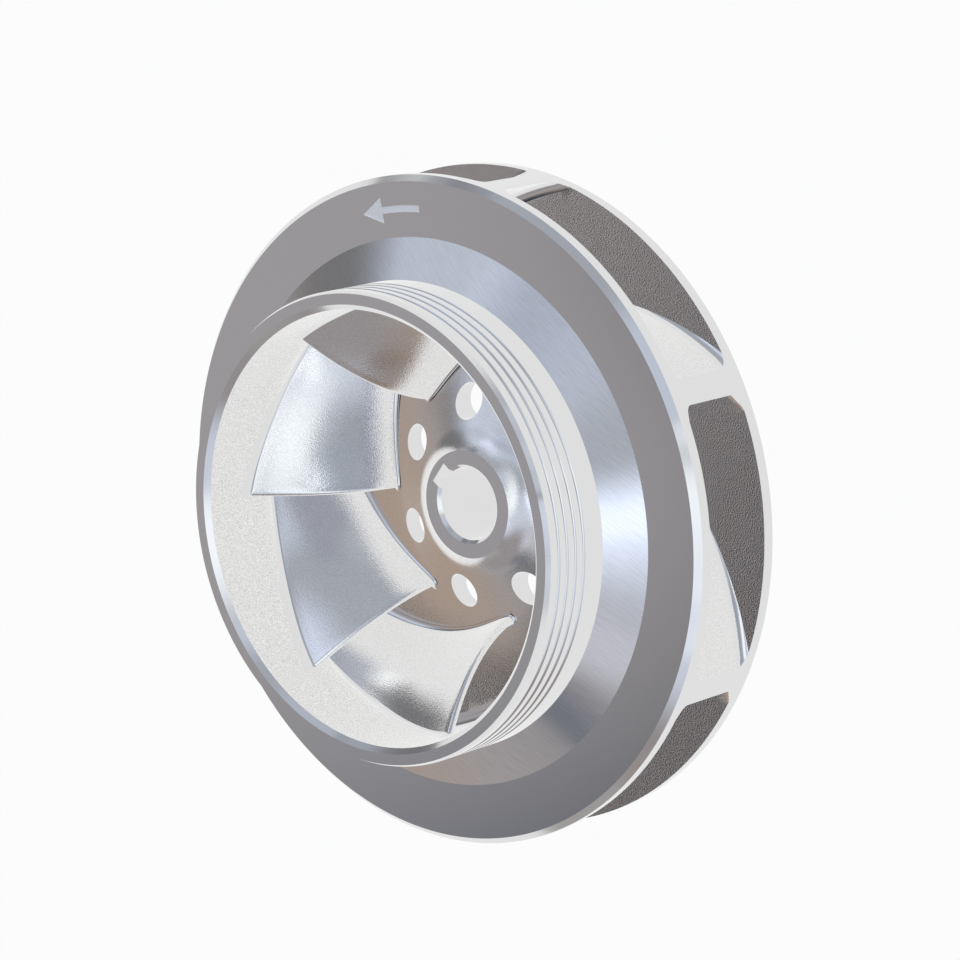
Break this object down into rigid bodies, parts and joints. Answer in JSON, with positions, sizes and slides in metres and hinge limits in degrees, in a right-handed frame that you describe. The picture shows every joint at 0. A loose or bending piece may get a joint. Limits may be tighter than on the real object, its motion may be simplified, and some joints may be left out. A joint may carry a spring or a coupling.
{
  "type": "pump impeller",
  "caption": "Closed radial pump impeller with backward-curved vanes between two shrouds, a grooved neck at the eye and a keyed hub bore.",
  "frame": {"origin": "on the shaft axis, in the plane of the rear ring's end that the part stands on", "axes": "+Z along the shaft axis towards the eye, +X through the middle of the keyway"},
  "size_m": [0.218, 0.218, 0.0829],
  "materials": {
    "impeller": "blasted stainless casting, turned bright where it runs or seats"
  },
  "bodies": {
    "root": {"impeller": "impeller"}
  },
  "joints": []
}
